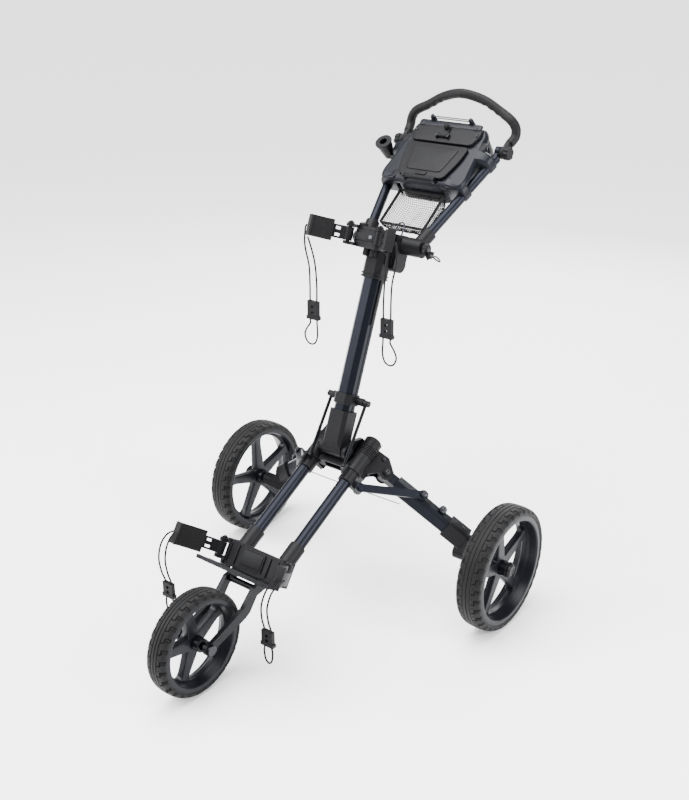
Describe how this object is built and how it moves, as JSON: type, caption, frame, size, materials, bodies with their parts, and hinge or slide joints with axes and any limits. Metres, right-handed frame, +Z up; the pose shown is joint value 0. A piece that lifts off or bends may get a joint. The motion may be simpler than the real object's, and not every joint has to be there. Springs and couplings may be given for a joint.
{
  "type": "golf push cart",
  "caption": "Folding golf push cart with a leaning mast, twin front tubes, splayed rear arms, spoked wheels, bag cradles, console with net and a loop grip.",
  "frame": {"origin": "on the ground, under the middle of the cart: the bottom centre of its bounding box without the elastic cords", "axes": "+Z up, -Y the way the cart rolls forwards, +X the left side of the cart as its user sees it"},
  "size_m": [0.796, 1.0546, 1.0993],
  "materials": {
    "anodised_tube": "satin",
    "moulded_black": "matte",
    "console_grey": "matte",
    "coated_steel": "satin",
    "steel": "brushed",
    "tyre_rubber": "matte",
    "rim_plastic": "satin",
    "pad_rubber": "matte",
    "grip_rubber": "matte",
    "cord_black": "woven",
    "net_black": "mesh"
  },
  "bodies": {
    "chassis": {"chassis_block": "moulded_black", "boom_tube_l": "anodised_tube", "boom_tube_r": "anodised_tube", "gusset_l": "moulded_black", "gusset_r": "moulded_black", "mast_pin": "steel", "lower_bracket": "moulded_black", "foot_plate": "coated_steel", "tie_wire": "steel"},
    "collar_l": {"collar_l": "moulded_black"},
    "collar_r": {"collar_r": "moulded_black"},
    "mast": {"mast_tube": "anodised_tube", "mast_socket": "moulded_black", "link_clamp": "moulded_black", "top_bracket": "moulded_black"},
    "rod_l": {"link_rod_l": "coated_steel"},
    "rod_r": {"link_rod_r": "coated_steel"},
    "bag_arm_upper_l": {"upper_arm_l": "moulded_black", "upper_pad_l": "pad_rubber", "upper_cord_l": "cord_black", "upper_toggle_l": "moulded_black"},
    "bag_arm_lower_l": {"lower_arm_l": "moulded_black", "lower_pad_l": "pad_rubber", "lower_cord_l": "cord_black", "lower_toggle_l": "moulded_black"},
    "arm_l": {"rear_beam_l": "anodised_tube", "wheel_bracket_l": "moulded_black"},
    "strut_l": {"strut_l": "anodised_tube"},
    "wheel_l": {"rear_tyre_l": "tyre_rubber", "rear_rim_l": "rim_plastic"},
    "bag_arm_upper_r": {"upper_arm_r": "moulded_black", "upper_pad_r": "pad_rubber", "upper_cord_r": "cord_black", "upper_toggle_r": "moulded_black"},
    "bag_arm_lower_r": {"lower_arm_r": "moulded_black", "lower_pad_r": "pad_rubber", "lower_cord_r": "cord_black", "lower_toggle_r": "moulded_black"},
    "arm_r": {"rear_beam_r": "anodised_tube", "wheel_bracket_r": "moulded_black"},
    "strut_r": {"strut_r": "anodised_tube"},
    "wheel_r": {"rear_tyre_r": "tyre_rubber", "rear_rim_r": "rim_plastic"},
    "fork": {"fork": "coated_steel", "front_axle": "steel"},
    "wheel_front": {"front_tyre": "tyre_rubber", "front_rim": "rim_plastic"},
    "frame": {"frame_tube_l": "anodised_tube", "frame_tube_r": "anodised_tube", "frame_end_l": "moulded_black", "frame_end_r": "moulded_black", "console_tray": "console_grey", "net_bag": "net_black", "umbrella_cup": "moulded_black"},
    "lid": {"console_lid": "moulded_black"},
    "clip": {"score_clip": "moulded_black"},
    "handle": {"handle_bar": "grip_rubber"},
    "knob_l": {"handle_knob_l": "moulded_black"},
    "knob_r": {"handle_knob_r": "moulded_black"}
  },
  "joints": [
    {"name": "mast_fold", "type": "hinge", "parent": "chassis", "child": "mast", "pos_m": [0, 0.03966, 0.37216], "axis": [1, 0, 0], "range_deg": [0, 80], "deforming": ["tie_wire"]},
    {"name": "collar_slide_l", "type": "slide", "parent": "chassis", "child": "collar_l", "axis": [0, -0.8788, -0.4772], "range_m": [0, 0.117]},
    {"name": "rod_pivot_l", "type": "hinge", "parent": "mast", "child": "rod_l", "pos_m": [0, 0.0887, 0.4762], "axis": [-1, 0, 0], "range_deg": [0, 62.6]},
    {"name": "arm_fold_l", "type": "hinge", "parent": "chassis", "child": "arm_l", "pos_m": [0.09, 0.1027, 0.31], "axis": [-0.6486, 0.3632, -0.6689], "range_deg": [0, 54.7]},
    {"name": "strut_pivot_l", "type": "hinge", "parent": "arm_l", "child": "strut_l", "pos_m": [0.17724, 0.12826, 0.27518], "axis": [0.6486, -0.3632, 0.6689], "range_deg": [0, 74.8]},
    {"name": "wheel_spin_l", "type": "hinge", "parent": "arm_l", "child": "wheel_l", "pos_m": [0.361, 0.1677, 0.1425], "axis": [1, 0, 0], "continuous": true},
    {"name": "upper_arm_swing_l", "type": "hinge", "parent": "mast", "child": "bag_arm_upper_l", "pos_m": [0.0389, 0.13796, 0.83251], "axis": [0, 0.3584, 0.9336], "range_deg": [-20, 35]},
    {"name": "lower_arm_swing_l", "type": "hinge", "parent": "chassis", "child": "bag_arm_lower_l", "pos_m": [0.089, -0.23922, 0.21726], "axis": [0, 0.5592, 0.829], "range_deg": [-15, 30]},
    {"name": "collar_slide_r", "type": "slide", "parent": "chassis", "child": "collar_r", "axis": [0, -0.8788, -0.4772], "range_m": [0, 0.117]},
    {"name": "rod_pivot_r", "type": "hinge", "parent": "mast", "child": "rod_r", "pos_m": [0, 0.0887, 0.4762], "axis": [-1, 0, 0], "range_deg": [0, 62.6]},
    {"name": "arm_fold_r", "type": "hinge", "parent": "chassis", "child": "arm_r", "pos_m": [-0.09, 0.1027, 0.31], "axis": [-0.6486, -0.3632, 0.6689], "range_deg": [0, 54.7]},
    {"name": "strut_pivot_r", "type": "hinge", "parent": "arm_r", "child": "strut_r", "pos_m": [-0.17724, 0.12826, 0.27518], "axis": [0.6486, 0.3632, -0.6689], "range_deg": [0, 74.8]},
    {"name": "wheel_spin_r", "type": "hinge", "parent": "arm_r", "child": "wheel_r", "pos_m": [-0.361, 0.1677, 0.1425], "axis": [1, 0, 0], "continuous": true},
    {"name": "upper_arm_swing_r", "type": "hinge", "parent": "mast", "child": "bag_arm_upper_r", "pos_m": [-0.0389, 0.13796, 0.83251], "axis": [0, -0.3584, -0.9336], "range_deg": [-20, 35]},
    {"name": "lower_arm_swing_r", "type": "hinge", "parent": "chassis", "child": "bag_arm_lower_r", "pos_m": [-0.089, -0.23922, 0.21726], "axis": [0, -0.5592, -0.829], "range_deg": [-15, 30]},
    {"name": "fork_fold", "type": "hinge", "parent": "chassis", "child": "fork", "pos_m": [0, -0.2323, 0.186], "axis": [1, 0, 0], "range_deg": [0, 120]},
    {"name": "wheel_spin_front", "type": "hinge", "parent": "fork", "child": "wheel_front", "pos_m": [0, -0.4143, 0.113], "axis": [1, 0, 0], "continuous": true},
    {"name": "frame_fold", "type": "hinge", "parent": "mast", "child": "frame", "pos_m": [0, 0.23912, 0.7969], "axis": [-1, 0, 0], "range_deg": [0, 90]},
    {"name": "lid_hinge", "type": "hinge", "parent": "frame", "child": "lid", "pos_m": [0, 0.3367, 0.92598], "axis": [1, 0, 0], "range_deg": [0, 105]},
    {"name": "clip_hinge", "type": "hinge", "parent": "frame", "child": "clip", "pos_m": [0, 0.43015, 1.00461], "axis": [1, 0, 0], "range_deg": [0, 30], "stiffness_Nm_per_rad": 0.05, "springref_deg": -11.46},
    {"name": "grip_tilt", "type": "hinge", "parent": "frame", "child": "handle", "pos_m": [0, 0.47078, 0.97465], "axis": [1, 0, 0], "range_deg": [-30, 30]},
    {"name": "knob_turn_l", "type": "hinge", "parent": "handle", "child": "knob_l", "pos_m": [0.14207, 0.47078, 0.97465], "axis": [1, 0, 0], "continuous": true},
    {"name": "knob_turn_r", "type": "hinge", "parent": "handle", "child": "knob_r", "pos_m": [-0.14207, 0.47078, 0.97465], "axis": [1, 0, 0], "continuous": true}
  ],
  "couplings": [
    {"joint": "collar_slide_l", "follows": "mast_fold", "m_per_rad": 0.083652},
    {"joint": "rod_pivot_l", "follows": "mast_fold", "ratio": 0.78},
    {"joint": "arm_fold_l", "follows": "mast_fold", "ratio": 0.68125},
    {"joint": "strut_pivot_l", "follows": "mast_fold", "ratio": 0.9325},
    {"joint": "collar_slide_r", "follows": "mast_fold", "m_per_rad": 0.083652},
    {"joint": "rod_pivot_r", "follows": "mast_fold", "ratio": 0.78},
    {"joint": "arm_fold_r", "follows": "mast_fold", "ratio": 0.68125},
    {"joint": "strut_pivot_r", "follows": "mast_fold", "ratio": 0.9325}
  ]
}
